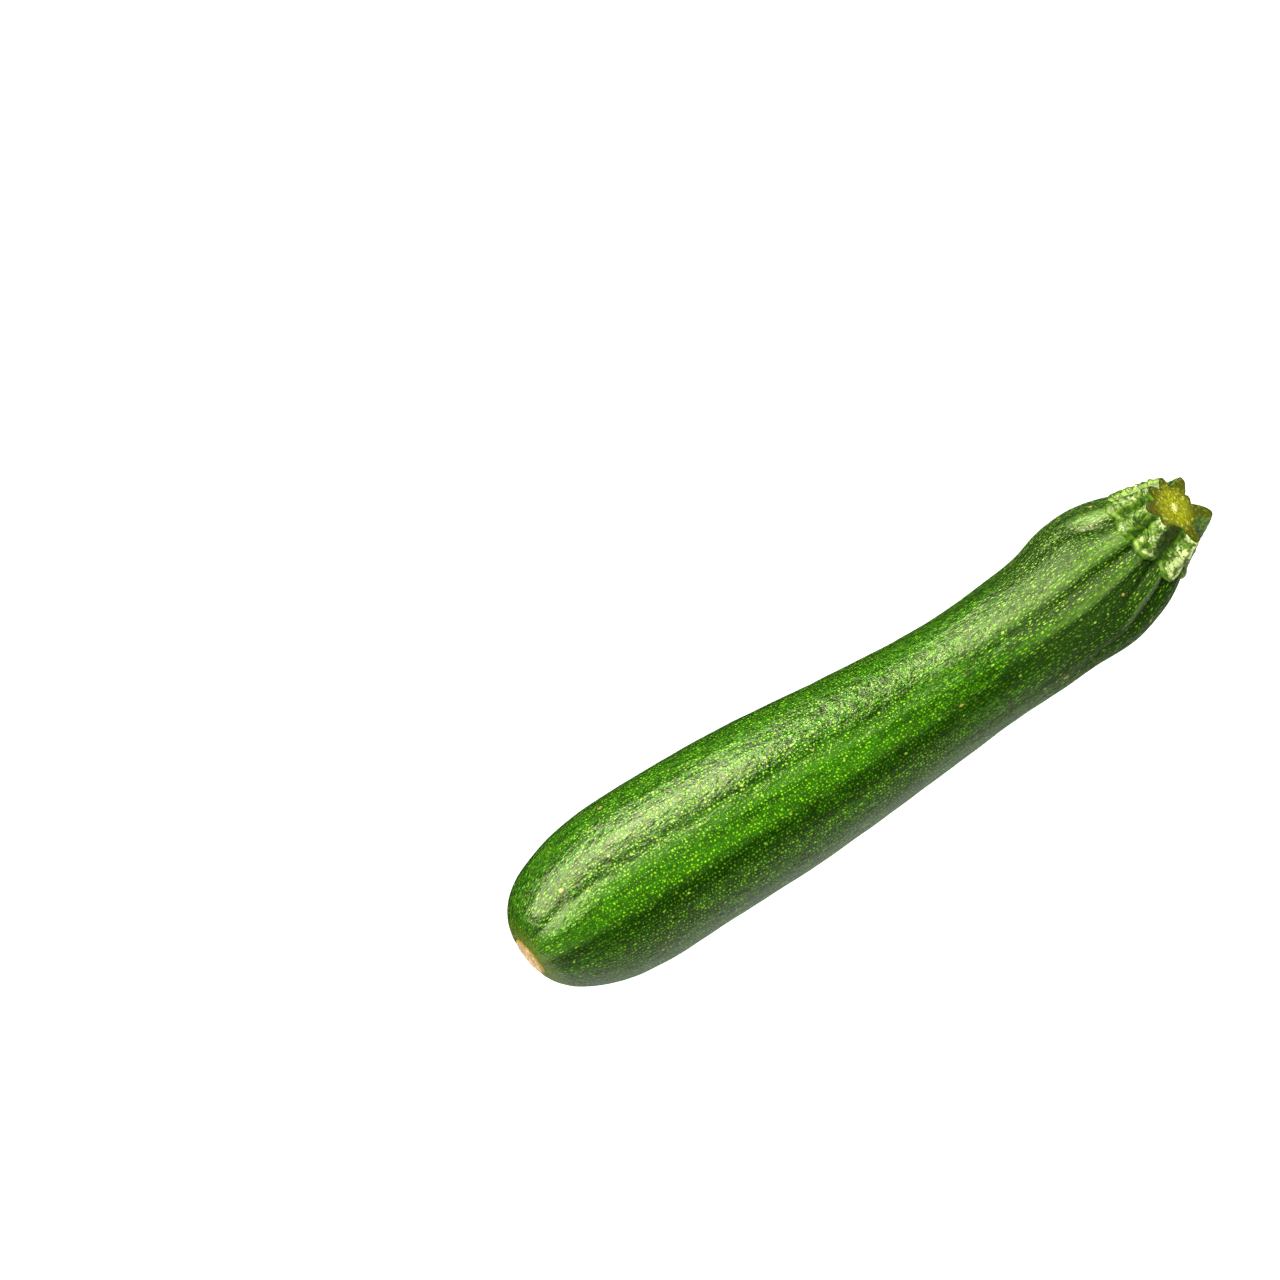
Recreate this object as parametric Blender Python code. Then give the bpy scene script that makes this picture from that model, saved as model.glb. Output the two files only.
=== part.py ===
"""A picked zucchini lying on its side: the fruit, and the cut stub of its stem.

+X runs from the blossom scar to the stem, +Z is up from the table. Stations are millimetres along X from the
scar. Angles go round the fruit from its top, towards +Y.
"""

import math

import bmesh
import bpy
from mathutils import Vector

MM = 0.001

# Where the row frame's origin lies: under the middle of the whole length and width.
MIDDLE_STATION = 94.9
MIDDLE_SIDE = 0.7

# Centre line of the fruit: station, sideways offset, height above the table.
AXIS = (
    (0.0, -1.2, 20.9),
    (14.0, 0.4, 20.3),
    (34.0, 0.8, 19.95),
    (59.0, 0.2, 19.45),
    (77.5, -0.6, 18.95),
    (89.0, -1.1, 18.45),
    (112.0, -1.6, 17.6),
    (135.0, -1.1, 16.95),
    (147.0, -0.35, 16.8),
    (161.0, 1.3, 17.4),
    (166.6, 1.85, 18.75),
    (173.8, 3.0, 21.2),
    (182.3, 4.9, 24.3),
)

# Girth of the fruit before its ends are rounded: station, radius.
GIRTH = (
    (0.0, 20.7),
    (31.0, 20.5),
    (46.0, 20.3),
    (66.0, 19.7),
    (77.5, 18.9),
    (89.0, 17.9),
    (100.0, 16.9),
    (112.0, 15.9),
    (126.0, 15.3),
    (138.0, 15.6),
    (146.7, 15.95),
    (154.0, 17.1),
    (160.0, 17.4),
    (190.0, 17.4),
)

# The blossom end is a blunt dome, and the shoulder a rounder one that the stem cuts short.
BLOSSOM_DOME_LENGTH = 37.0
BLOSSOM_DOME_POWER = 2.4
SHOULDER_START = 156.3
SHOULDER_LENGTH = 26.0
STEM_STATION = 173.8

# Ten furrows part the skin into ribs. Each has its angles, its shares of the furrow depth and its half widths
# in degrees, at the belly, the neck, the shoulder and the stem.
FURROW_STATIONS = (45.0, 125.0, 156.0, 173.8)
FURROWS = (
    ((14.0, 9.0, 5.0, 3.0), (1.3, 0.7, 1.0, 1.0), (11.0, 9.0, 12.0, 8.0)),
    ((48.0, 47.0, 53.0, 41.0), (0.3, 0.3, 1.0, 1.0), (16.0, 14.0, 20.0, 9.0)),
    ((86.0, 80.0, 76.0, 73.0), (0.5, 0.5, 0.3, 0.5), (9.0, 9.0, 9.0, 9.0)),
    ((122.0, 118.0, 112.0, 110.0), (0.6, 0.6, 0.8, 1.0), (9.0, 9.0, 9.0, 9.0)),
    ((158.0, 154.0, 150.0, 150.0), (0.4, 0.5, 0.8, 0.9), (9.0, 9.0, 9.0, 9.0)),
    ((207.0, 210.0, 214.0, 218.0), (0.5, 0.6, 0.8, 1.0), (9.0, 9.0, 9.0, 9.0)),
    ((245.0, 250.0, 258.0, 266.0), (0.6, 0.6, 0.8, 0.8), (9.0, 9.0, 9.0, 9.0)),
    ((278.0, 288.0, 301.0, 306.0), (0.5, 0.6, 0.9, 1.0), (9.0, 9.0, 8.0, 8.0)),
    ((300.0, 306.0, 323.0, 330.0), (0.3, 0.4, 1.0, 1.1), (9.0, 9.0, 9.0, 8.0)),
    ((340.0, 341.0, 341.0, 341.0), (1.0, 0.7, 0.8, 0.9), (9.0, 9.0, 9.0, 8.0)),
)
# Furrow depth: station, millimetres.
FURROW_DEPTH = (
    (0.0, 0.5),
    (8.0, 0.55),
    (30.0, 0.35),
    (90.0, 0.35),
    (125.0, 0.45),
    (145.0, 0.8),
    (156.0, 1.35),
    (165.0, 1.9),
    (173.8, 2.4),
)
FURROW_SHARPNESS = 1.4

# Dry scar where the flower dropped off: distance from the tip along the axis, radius.
SCAR_RINGS = ((0.62, 1.3), (0.76, 3.1), (0.42, 4.1), (0.5, 4.6), (0.85, 5.0))

# The stem sits on a low crown that closes the fruit's shoulder.
CROWN_RISE = 2.4
SEAT_GAP = 0.3
SHOULDER_FALL = 0.8

# Heart of the cut face, and how that face leans.
PITH = (182.4, 5.1, 26.0)
CUT_LIFT_DEG = 44.0
STEM_FOOT_VALLEY = 10.8
STEM_CUT_VALLEY = 5.5
# Lobes of the stem: angle and reach at the foot, angle and reach at the cut, half width in degrees.
STEM_LOBES = (
    (24.0, 13.4, 21.0, 9.8, 16.0),
    (60.0, 13.3, 57.0, 8.6, 15.0),
    (90.0, 12.9, 100.0, 7.8, 14.0),
    (143.0, 13.2, 150.5, 9.3, 15.0),
    (200.0, 12.8, 182.0, 6.6, 13.0),
    (243.0, 13.6, 211.0, 12.2, 12.0),
    (277.0, 13.2, 240.0, 6.8, 12.0),
    (309.0, 14.0, 270.0, 10.0, 14.0),
    (354.0, 13.2, 348.0, 7.4, 16.0),
)
LOBE_SQUARENESS = 2.6
KNOB_HEIGHT = 0.35
KNOB_STEPS_ROUND = 17
KNOB_STEPS_UP = 2.2

# Mesh density.
FRUIT_SIDES = 72
STEM_SIDES = 120
DOME_RINGS = 11
BODY_RINGS = 27
SHOULDER_RINGS = 9
CROWN_SHARES = (0.72, 0.36)
STEM_RINGS = 12
FACE_SHARES = (0.55,)

SKIN_GREEN = (0.035, 0.13, 0.012, 1.0)
STEM_GREEN = (0.20, 0.36, 0.05, 1.0)


def clear_scene():
    """Start from an empty scene."""
    for leftover in list(bpy.data.objects):
        bpy.data.objects.remove(leftover, do_unlink=True)


def smooth(table, station):
    """Read a table along a smooth curve through its rows. The result has a value for each further column."""
    last = len(table) - 1
    i = 0
    while i < last - 1 and station > table[i + 1][0]:
        i += 1
    before, start = table[max(i - 1, 0)], table[i]
    end, after = table[i + 1], table[min(i + 2, last)]
    span = end[0] - start[0]
    t = (station - start[0]) / span
    values = []
    for column in range(1, len(start)):
        slope_in = (end[column] - before[column]) / (end[0] - before[0]) * span
        slope_out = (after[column] - start[column]) / (after[0] - start[0]) * span
        values.append(
            (2 * t**3 - 3 * t**2 + 1) * start[column]
            + (t**3 - 2 * t**2 + t) * slope_in
            + (3 * t**2 - 2 * t**3) * end[column]
            + (t**3 - t**2) * slope_out
        )
    return values


def axis_point(station):
    side, height = smooth(AXIS, station)
    return Vector((station - MIDDLE_STATION, side - MIDDLE_SIDE, height))


def axis_frame(station, step=3.0):
    """Direction of the centre line, and the up and sideways directions square to it."""
    along = (axis_point(station + step) - axis_point(station - step)).normalized()
    up = (Vector((0, 0, 1)) - along * along.z).normalized()
    return along, up, up.cross(along)


def girth(station):
    """Radius of the fruit over its ribs."""
    radius = smooth(GIRTH, station)[0]
    if station < BLOSSOM_DOME_LENGTH:
        left = 1 - station / BLOSSOM_DOME_LENGTH
        radius *= max(1 - left**BLOSSOM_DOME_POWER, 0) ** (1 / BLOSSOM_DOME_POWER)
    if station > SHOULDER_START:
        gone = (station - SHOULDER_START) / SHOULDER_LENGTH
        radius *= math.sqrt(1 - gone**2)
    return radius


def furrow_rows(column):
    """One table of all the furrows' angles (0), depth shares (1) or half widths (2), by station."""
    return [(at, *(furrow[column][i] for furrow in FURROWS)) for i, at in enumerate(FURROW_STATIONS)]


def furrow_drop(station, degrees):
    """How deep the surface lies below the ribs' crests, in millimetres."""
    held = min(max(station, FURROW_STATIONS[0]), FURROW_STATIONS[-1])
    drop = 0.0
    for at, share, half_width in zip(*(smooth(furrow_rows(column), held) for column in range(3))):
        away = abs((degrees - at + 180) % 360 - 180) / half_width
        drop += share * math.exp(-(away**FURROW_SHARPNESS))
    return smooth(FURROW_DEPTH, station)[0] * drop


def fruit_ring(station, radius, furrow_share=1.0):
    """One ring of points round the centre line, pressed flat where it would go below the table."""
    centre = axis_point(max(station, 0))
    along, up, side = axis_frame(max(station, 0))
    ring = []
    for i in range(FRUIT_SIDES):
        degrees = 360 * i / FRUIT_SIDES
        reach = radius - furrow_share * furrow_drop(station, degrees)
        angle = math.radians(degrees)
        point = centre + reach * (math.cos(angle) * up + math.sin(angle) * side)
        point.z = max(point.z, 0)
        ring.append(point)
    return ring


def seat(radius):
    """Height of the fruit's crown above the stem station, at this distance from the axis."""
    rim = girth(STEM_STATION)
    if radius > rim:
        return -SHOULDER_FALL * (radius - rim)
    return CROWN_RISE * (1 - (radius / rim) ** 2)


def skin(name, rings, first, last, colour):
    """Join rings of points into one closed mesh, with a fan of faces to a middle point at each end."""
    mesh = bmesh.new()
    loops = [[mesh.verts.new(p * MM) for p in ring] for ring in rings]
    for lower, upper in zip(loops, loops[1:]):
        for i in range(len(lower)):
            j = (i + 1) % len(lower)
            mesh.faces.new((lower[i], lower[j], upper[j], upper[i]))
    for loop, tip in ((loops[0], first), (loops[-1], last)):
        middle = mesh.verts.new(tip * MM)
        for i in range(len(loop)):
            mesh.faces.new((loop[i], loop[(i + 1) % len(loop)], middle))
    bmesh.ops.recalc_face_normals(mesh, faces=mesh.faces)
    data = bpy.data.meshes.new(name)
    mesh.to_mesh(data)
    mesh.free()
    data.shade_smooth()
    data.set_sharp_from_angle(angle=math.radians(40))
    body = bpy.data.objects.new(name, data)
    bpy.context.scene.collection.objects.link(body)
    data.materials.append(finish(name, colour))
    return body


def finish(name, colour):
    material = bpy.data.materials.new(name)
    material.use_nodes = True
    shader = material.node_tree.nodes["Principled BSDF"]
    shader.inputs["Base Color"].default_value = colour
    shader.inputs["Roughness"].default_value = 0.35
    shader.inputs["Metallic"].default_value = 0.0
    return material


def fruit():
    """The fruit, from the heart of its blossom scar to the crown under the stem."""
    start_direction = axis_frame(0)[0]
    rings = []
    for depth, radius in SCAR_RINGS:
        offset = start_direction * depth
        rings.append([p + offset for p in fruit_ring(0, radius, 0)])
    first_station = SCAR_RINGS[-1][0]
    for i in range(1, DOME_RINGS + 1):
        rise = 1 - math.cos(math.pi / 2 * i / DOME_RINGS)
        station = first_station + (BLOSSOM_DOME_LENGTH - first_station) * rise
        rings.append(fruit_ring(station, girth(station), min(1, i / 3)))
    for i in range(1, BODY_RINGS + 1):
        station = BLOSSOM_DOME_LENGTH + (SHOULDER_START - BLOSSOM_DOME_LENGTH) * i / BODY_RINGS
        rings.append(fruit_ring(station, girth(station)))
    for i in range(1, SHOULDER_RINGS + 1):
        station = SHOULDER_START + (STEM_STATION - SHOULDER_START) * i / SHOULDER_RINGS
        rings.append(fruit_ring(station, girth(station)))
    rim = girth(STEM_STATION)
    end_direction = axis_frame(STEM_STATION)[0]
    for share in CROWN_SHARES:
        lift = end_direction * seat(rim * share)
        rings.append([p + lift for p in fruit_ring(STEM_STATION, rim * share, 0)])
    scar_heart = axis_point(0) + start_direction * SCAR_RINGS[0][0] / 2
    crown_top = axis_point(STEM_STATION) + end_direction * CROWN_RISE
    return skin("fruit", rings, scar_heart, crown_top, SKIN_GREEN)


def stem_frames():
    """Centre and up, side and along directions of the stem's foot and of its slanting cut."""
    along, up, side = axis_frame(STEM_STATION)
    foot = (axis_point(STEM_STATION), up, side, along)
    lift = math.radians(CUT_LIFT_DEG)
    pith = Vector((PITH[0] - MIDDLE_STATION, PITH[1] - MIDDLE_SIDE, PITH[2]))
    cut_up = Vector((-math.sin(lift), 0, math.cos(lift)))
    cut_side = Vector((0, 1, 0))
    return foot, (pith, cut_up, cut_side, cut_side.cross(cut_up))


def lobe_lean(degrees):
    """How far the side at this foot angle turns on its way to the cut, so that the sides follow the lobes."""
    rows = [(foot_at, cut_at - foot_at) for foot_at, _, cut_at, _, _ in STEM_LOBES]
    rows = [(rows[-1][0] - 360, rows[-1][1]), *rows, (rows[0][0] + 360, rows[0][1])]
    for (low, low_lean), (high, high_lean) in zip(rows, rows[1:]):
        if low <= degrees <= high:
            return low_lean + (high_lean - low_lean) * (degrees - low) / (high - low)
    return 0.0


def stem_reach(share, degrees):
    """Distance from the stem's axis to its surface, for a share of the way from foot to cut."""
    valley = STEM_FOOT_VALLEY + (STEM_CUT_VALLEY - STEM_FOOT_VALLEY) * share**0.65
    tallest = 0.0
    for foot_at, foot_reach, cut_at, cut_reach, half_width in STEM_LOBES:
        at = foot_at + (cut_at - foot_at) * share
        reach = foot_reach + (cut_reach - foot_reach) * share
        away = abs((degrees - at + 180) % 360 - 180)
        rise = (reach - valley) * math.exp(-((away / half_width) ** LOBE_SQUARENESS))
        tallest = max(tallest, rise)
    return valley + tallest


def knobs(share, foot_degrees):
    """Low knobs in rows along the stem, in millimetres. They die out at the foot and at the cut."""
    round_wave = math.sin(math.radians(foot_degrees * KNOB_STEPS_ROUND))
    up_wave = math.sin(2 * math.pi * KNOB_STEPS_UP * share)
    return KNOB_HEIGHT * round_wave * up_wave * math.sin(math.pi * share)


def stem_ring(share, shrink=1.0):
    """One ring of the stem. Its foot follows the crown that it sits on."""
    foot, cut = stem_frames()
    centre = foot[0].lerp(cut[0], share)
    up = foot[1].lerp(cut[1], share).normalized()
    side = foot[2].lerp(cut[2], share).normalized()
    ring = []
    for i in range(STEM_SIDES):
        foot_degrees = 360 * i / STEM_SIDES
        degrees = foot_degrees + lobe_lean(foot_degrees) * share
        reach = (stem_reach(share, degrees) + knobs(share, foot_degrees)) * shrink
        angle = math.radians(degrees)
        settle = foot[3] * (seat(reach) + SEAT_GAP) * (1 - share) ** 3
        ring.append(centre + reach * (math.cos(angle) * up + math.sin(angle) * side) + settle)
    return ring


def stem():
    """The cut stub, from the middle of its underside, out to its foot, up its lobes and across the cut."""
    rings = [stem_ring(0, share) for share in reversed(CROWN_SHARES)]
    rings += [stem_ring(i / STEM_RINGS) for i in range(STEM_RINGS + 1)]
    rings += [stem_ring(1, share) for share in FACE_SHARES]
    foot, cut = stem_frames()
    under = foot[0] + foot[3] * (CROWN_RISE + SEAT_GAP)
    return skin("stem", rings, under, cut[0], STEM_GREEN)


clear_scene()
fruit()
stem()
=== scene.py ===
# %% [markdown]
# # A zucchini, from its solid model to its picture
#
# The solid model gives this object's size, its bend and its ribs, and it is loaded first as a fixed frame.
# Everything below is built in the same place and at the same size, in metres, with +X from the blossom scar
# to the stem and +Z up. The two solids, the fruit and the stem, are each replaced by a much finer skin.

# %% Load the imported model
import math

import bpy
import numpy as np
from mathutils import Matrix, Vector


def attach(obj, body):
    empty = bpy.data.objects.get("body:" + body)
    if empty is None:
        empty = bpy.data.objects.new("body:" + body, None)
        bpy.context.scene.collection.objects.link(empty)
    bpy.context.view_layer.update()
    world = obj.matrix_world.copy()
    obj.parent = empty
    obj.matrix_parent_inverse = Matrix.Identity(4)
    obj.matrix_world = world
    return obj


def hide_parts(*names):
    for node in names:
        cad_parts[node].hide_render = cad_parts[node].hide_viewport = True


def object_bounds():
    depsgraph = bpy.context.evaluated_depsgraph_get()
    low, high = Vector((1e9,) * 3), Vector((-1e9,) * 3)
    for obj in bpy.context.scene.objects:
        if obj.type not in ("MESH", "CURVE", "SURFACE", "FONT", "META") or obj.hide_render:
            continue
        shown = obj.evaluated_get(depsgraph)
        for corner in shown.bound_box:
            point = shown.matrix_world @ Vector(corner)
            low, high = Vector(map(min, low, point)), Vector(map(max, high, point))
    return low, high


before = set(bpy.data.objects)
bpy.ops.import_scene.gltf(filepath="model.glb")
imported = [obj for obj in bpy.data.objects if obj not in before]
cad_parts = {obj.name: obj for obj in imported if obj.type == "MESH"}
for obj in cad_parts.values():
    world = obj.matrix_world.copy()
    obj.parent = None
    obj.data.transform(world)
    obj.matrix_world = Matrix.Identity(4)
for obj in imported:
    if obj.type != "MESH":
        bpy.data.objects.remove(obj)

cad_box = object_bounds()
print("solid model, mm:", [round((b - a) * 1000, 1) for a, b in zip(*cad_box)])

# %% [markdown]
# ## Curves that follow a few measured rows
#
# A grown fruit has no straight edges, so a few rows of measurements are joined by one smooth curve. Each
# curve passes through its rows, and its slope at a row is the average slope of the neighbours. A Blender
# curve object could carry the same rows. A table read by numpy is chosen here, because it gives all the
# points of a fine mesh in one go.

# %% Read a table along a smooth curve
def smooth(rows, stations):
    """The columns of a table, read at many stations at once."""
    table = np.array(rows, float)
    at, columns = table[:, 0], table[:, 1:]
    stations = np.asarray(stations, float)
    i = np.clip(np.searchsorted(at, stations, side="left") - 1, 0, len(at) - 2)
    before, after = np.maximum(i - 1, 0), np.minimum(i + 2, len(at) - 1)
    span = (at[i + 1] - at[i])[..., None]
    t = (stations[..., None] - at[i][..., None]) / span
    slope_in = (columns[i + 1] - columns[before]) / (at[i + 1] - at[before])[..., None] * span
    slope_out = (columns[after] - columns[i]) / (at[after] - at[i])[..., None] * span
    return (
        (2 * t**3 - 3 * t**2 + 1) * columns[i]
        + (t**3 - 2 * t**2 + t) * slope_in
        + (3 * t**2 - 2 * t**3) * columns[i + 1]
        + (t**3 - t**2) * slope_out
    )

# %% The centre line of the fruit
MM = 0.001
MIDDLE_STATION, MIDDLE_SIDE = 94.9, 0.7
AXIS = (
    (0.0, -1.2, 20.9), (14.0, 0.4, 20.3), (34.0, 0.8, 19.95), (59.0, 0.2, 19.45), (77.5, -0.6, 18.95),
    (89.0, -1.1, 18.45), (112.0, -1.6, 17.6), (135.0, -1.1, 16.95), (147.0, -0.35, 16.8), (161.0, 1.3, 17.4),
    (166.6, 1.85, 18.75), (173.8, 3.0, 21.2), (182.3, 4.9, 24.3),
)


def axis_point(stations):
    side_height = smooth(AXIS, stations)
    return np.stack(
        [stations - MIDDLE_STATION, side_height[..., 0] - MIDDLE_SIDE, side_height[..., 1]], -1
    )


def unit(vectors):
    return vectors / np.linalg.norm(vectors, axis=-1, keepdims=True)


def axis_frame(stations, step=3.0):
    """Directions along the centre line, and up and sideways square to it."""
    along = unit(axis_point(stations + step) - axis_point(stations - step))
    up = unit(np.array([0.0, 0.0, 1.0]) - along * along[..., 2:3])
    return along, up, np.cross(up, along)


bend = axis_point(np.linspace(0, AXIS[-2][0], 400))
print("centre line is", round(float(np.linalg.norm(np.diff(bend, axis=0), axis=1).sum()), 1), "mm long")

# %% [markdown]
# ## Girth, furrows and ribs
#
# The fruit's girth is a second table. A blunt dome closes the blossom end, and a rounder one runs up to the
# stem. Ten furrows part the skin into ribs. A real fruit's furrows wander, so each has its own angle at the
# belly, the neck, the shoulder and the stem, and they cut deepest where they gather under the stem.
#
# These forms could be sculpted by hand. Tables are used instead, because a row can be measured in the
# photograph, and one row can be corrected without touching the rest.

# %% Girth
GIRTH = (
    (0.0, 20.7), (31.0, 20.5), (46.0, 20.3), (66.0, 19.7), (77.5, 18.9), (89.0, 17.9), (100.0, 16.9),
    (112.0, 15.9), (126.0, 15.3), (138.0, 15.6), (146.7, 15.95), (154.0, 17.1), (160.0, 17.4), (190.0, 17.4),
)
BLOSSOM_DOME_LENGTH, BLOSSOM_DOME_POWER = 37.0, 2.4
SHOULDER_START, SHOULDER_LENGTH, STEM_STATION = 156.3, 26.0, 173.8


def girth(stations):
    radius = smooth(GIRTH, stations)[..., 0]
    left = np.clip(1 - stations / BLOSSOM_DOME_LENGTH, 0, 1)
    radius = radius * np.maximum(1 - left**BLOSSOM_DOME_POWER, 0) ** (1 / BLOSSOM_DOME_POWER)
    gone = np.clip((stations - SHOULDER_START) / SHOULDER_LENGTH, 0, 1)
    return radius * np.sqrt(1 - gone**2)

# %% Furrows
FURROW_STATIONS = (45.0, 125.0, 156.0, 173.8)
# For each furrow: its angles, its shares of the depth and its half widths in degrees, at those four stations.
FURROWS = (
    ((14.0, 9.0, 5.0, 3.0), (1.3, 0.7, 1.0, 1.0), (11.0, 9.0, 12.0, 8.0)),
    ((48.0, 47.0, 53.0, 41.0), (0.3, 0.3, 1.0, 1.0), (16.0, 14.0, 20.0, 9.0)),
    ((86.0, 80.0, 76.0, 73.0), (0.5, 0.5, 0.3, 0.5), (9.0, 9.0, 9.0, 9.0)),
    ((122.0, 118.0, 112.0, 110.0), (0.6, 0.6, 0.8, 1.0), (9.0, 9.0, 9.0, 9.0)),
    ((158.0, 154.0, 150.0, 150.0), (0.4, 0.5, 0.8, 0.9), (9.0, 9.0, 9.0, 9.0)),
    ((207.0, 210.0, 214.0, 218.0), (0.5, 0.6, 0.8, 1.0), (9.0, 9.0, 9.0, 9.0)),
    ((245.0, 250.0, 258.0, 266.0), (0.6, 0.6, 0.8, 0.8), (9.0, 9.0, 9.0, 9.0)),
    ((278.0, 288.0, 301.0, 306.0), (0.5, 0.6, 0.9, 1.0), (9.0, 9.0, 8.0, 8.0)),
    ((300.0, 306.0, 323.0, 330.0), (0.3, 0.4, 1.0, 1.1), (9.0, 9.0, 9.0, 8.0)),
    ((340.0, 341.0, 341.0, 341.0), (1.0, 0.7, 0.8, 0.9), (9.0, 9.0, 9.0, 8.0)),
)
FURROW_DEPTH = (
    (0.0, 0.5), (8.0, 0.55), (30.0, 0.35), (90.0, 0.35), (125.0, 0.45), (145.0, 0.8), (156.0, 1.35),
    (165.0, 1.9), (173.8, 2.4),
)


def angle_from(degrees, other):
    """Signed angle between two directions round the fruit, from -180 to 180."""
    return (degrees - other + 180) % 360 - 180


def furrow_table(column):
    """One column of all furrows, as a table with a row for each station."""
    return [(at, *(furrow[column][i] for furrow in FURROWS)) for i, at in enumerate(FURROW_STATIONS)]


def furrow_shares(stations, degrees, sharpness=1.4):
    """How much of the local furrow depth is taken off at each point, from 0 on a crest to 1 in a furrow."""
    held = np.clip(stations, FURROW_STATIONS[0], FURROW_STATIONS[-1])
    places, depths, half_widths = (smooth(furrow_table(column), held) for column in range(3))
    total = np.zeros(np.broadcast(stations, degrees).shape)
    for i in range(len(FURROWS)):
        away = np.abs(angle_from(degrees, places[..., i])) / half_widths[..., i]
        total += depths[..., i] * np.exp(-(away**sharpness))
    return total


print("furrows at the belly:", [furrow[0][0] for furrow in FURROWS])

# %% [markdown]
# ## Unevenness
#
# A skin that follows only formulas looks turned on a lathe. Value noise mends that: random heights on a
# coarse grid, joined smoothly, with the grid closed into a ring so that it meets itself round the fruit. A
# displace modifier with a cloud texture would do nearly the same, but here the lumps can be drawn out along
# the fruit, as they grow. The random numbers come from a fixed seed, so each run gives the same fruit.

# %% Noise that closes round the fruit
NOISE_LENGTH, NOISE_LEAD = 260, 20.0


def unevenness(stations, degrees, length_mm, round_deg, seed):
    """Smooth random heights from -1 to 1, with lumps of this length and width."""
    across = max(3, round(360 / round_deg))
    grid = np.random.RandomState(seed).uniform(-1, 1, (int(NOISE_LENGTH / length_mm) + 4, across))
    u = (np.asarray(stations) + NOISE_LEAD) / length_mm
    v = np.asarray(degrees) / 360 * across
    i, j = np.floor(u).astype(int), np.floor(v).astype(int)
    fu, fv = u - i, v - j
    fu, fv = fu * fu * (3 - 2 * fu), fv * fv * (3 - 2 * fv)
    i = np.clip(i, 0, grid.shape[0] - 2)
    low = grid[i, j % across] * (1 - fv) + grid[i, (j + 1) % across] * fv
    high = grid[i + 1, j % across] * (1 - fv) + grid[i + 1, (j + 1) % across] * fv
    return low * (1 - fu) + high * fu

# %% [markdown]
# Each piece is made as rings of points that follow one another, like the hoops of a barrel. Joining each ring
# to the next gives a tube of four-sided faces, and a single point closes each end. Values that the finish
# needs later, such as how deep in a furrow a point lies, are kept at the points as attributes.

# %% Turn rings of points into a mesh
def ring_mesh(name, rings, first_tip, last_tip, facts, tip_facts):
    """A closed skin over rings of points, in millimetres, with a named value kept at each point."""
    count, sides, _ = rings.shape
    points = np.concatenate([rings.reshape(-1, 3), [first_tip, last_tip]]) * MM
    points = np.clip(points, np.array(cad_box[0]), np.array(cad_box[1]))
    row, column = np.meshgrid(np.arange(count - 1), np.arange(sides), indexing="ij")
    corner = (row * sides + column).ravel()
    beside = (row * sides + (column + 1) % sides).ravel()
    faces = np.stack([corner, beside, beside + sides, corner + sides], -1).tolist()
    turn = np.arange(sides)
    first, last = count * sides, count * sides + 1
    faces += [(int((k + 1) % sides), int(k), first) for k in turn]
    end = (count - 1) * sides
    faces += [(int(end + k), int(end + (k + 1) % sides), last) for k in turn]
    mesh = bpy.data.meshes.new(name)
    mesh.from_pydata(points.tolist(), [], faces)
    for key, values in facts.items():
        at_tips = np.array(tip_facts[key], float).reshape(2, -1)
        flat = np.concatenate([values.reshape(count * sides, -1), at_tips])
        kind, field = ("FLOAT", "value") if flat.shape[1] == 1 else ("FLOAT_VECTOR", "vector")
        mesh.attributes.new(key, kind, "POINT").data.foreach_set(field, flat.astype(np.float32).ravel())
    mesh.shade_smooth()
    body = bpy.data.objects.new(name, mesh)
    bpy.context.scene.collection.objects.link(body)
    print(name, "has", len(faces), "faces")
    return body

# %% [markdown]
# ## The fruit's skin
#
# The skin is one long tube of rings. They stand closer together at the two ends, where the surface turns
# quickly. A ball stretched and sculpted would also do, but with rings each point's place along and round the
# fruit is known, and the finish is drawn with those places.
#
# Shallow dents, lengthwise wrinkles and the crinkled edge of the blossom scar are modelled as real relief,
# because they bend the long highlight that the photograph shows. Only grain finer than the mesh is left to a
# bump in the finish.

# %% Where the rings stand
SIDES, DOME_RINGS, BODY_RINGS, SHOULDER_RINGS = 288, 66, 196, 40
# Station and radius of each ring of the scar, from its middle outwards.
SCAR_RINGS = ((0.62, 1.3), (0.76, 3.1), (0.42, 4.1), (0.5, 4.6), (0.85, 5.0))
scar = smooth([(i, *pair) for i, pair in enumerate(SCAR_RINGS)], np.linspace(0, 4, 17))
first_station = SCAR_RINGS[-1][0]
quarter_turn = np.linspace(0.04, 1, DOME_RINGS) * math.pi / 2
dome = first_station + (BLOSSOM_DOME_LENGTH - first_station) * (1 - np.cos(quarter_turn))
body_stations = np.linspace(BLOSSOM_DOME_LENGTH, SHOULDER_START, BODY_RINGS)[1:]
shoulder = np.linspace(SHOULDER_START, STEM_STATION, SHOULDER_RINGS)[1:]
skin_stations = np.concatenate([dome, body_stations, shoulder])
degrees = np.arange(SIDES) * 360 / SIDES
print("rings:", len(scar) + len(skin_stations), "with", SIDES, "points each")

# %% Relief of the skin
# Depth, length in millimetres, width in degrees and seed of each layer of dents.
DENTS = ((0.10, 13, 15, 1), (0.045, 5, 6, 2), (0.022, 1.9, 4, 3))
WRINKLE_DEPTH, WRINKLE_DEPTH_NEAR_STEM, CRINKLE_DEPTH, CRINKLES = 0.04, 0.16, 0.16, 23


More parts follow.
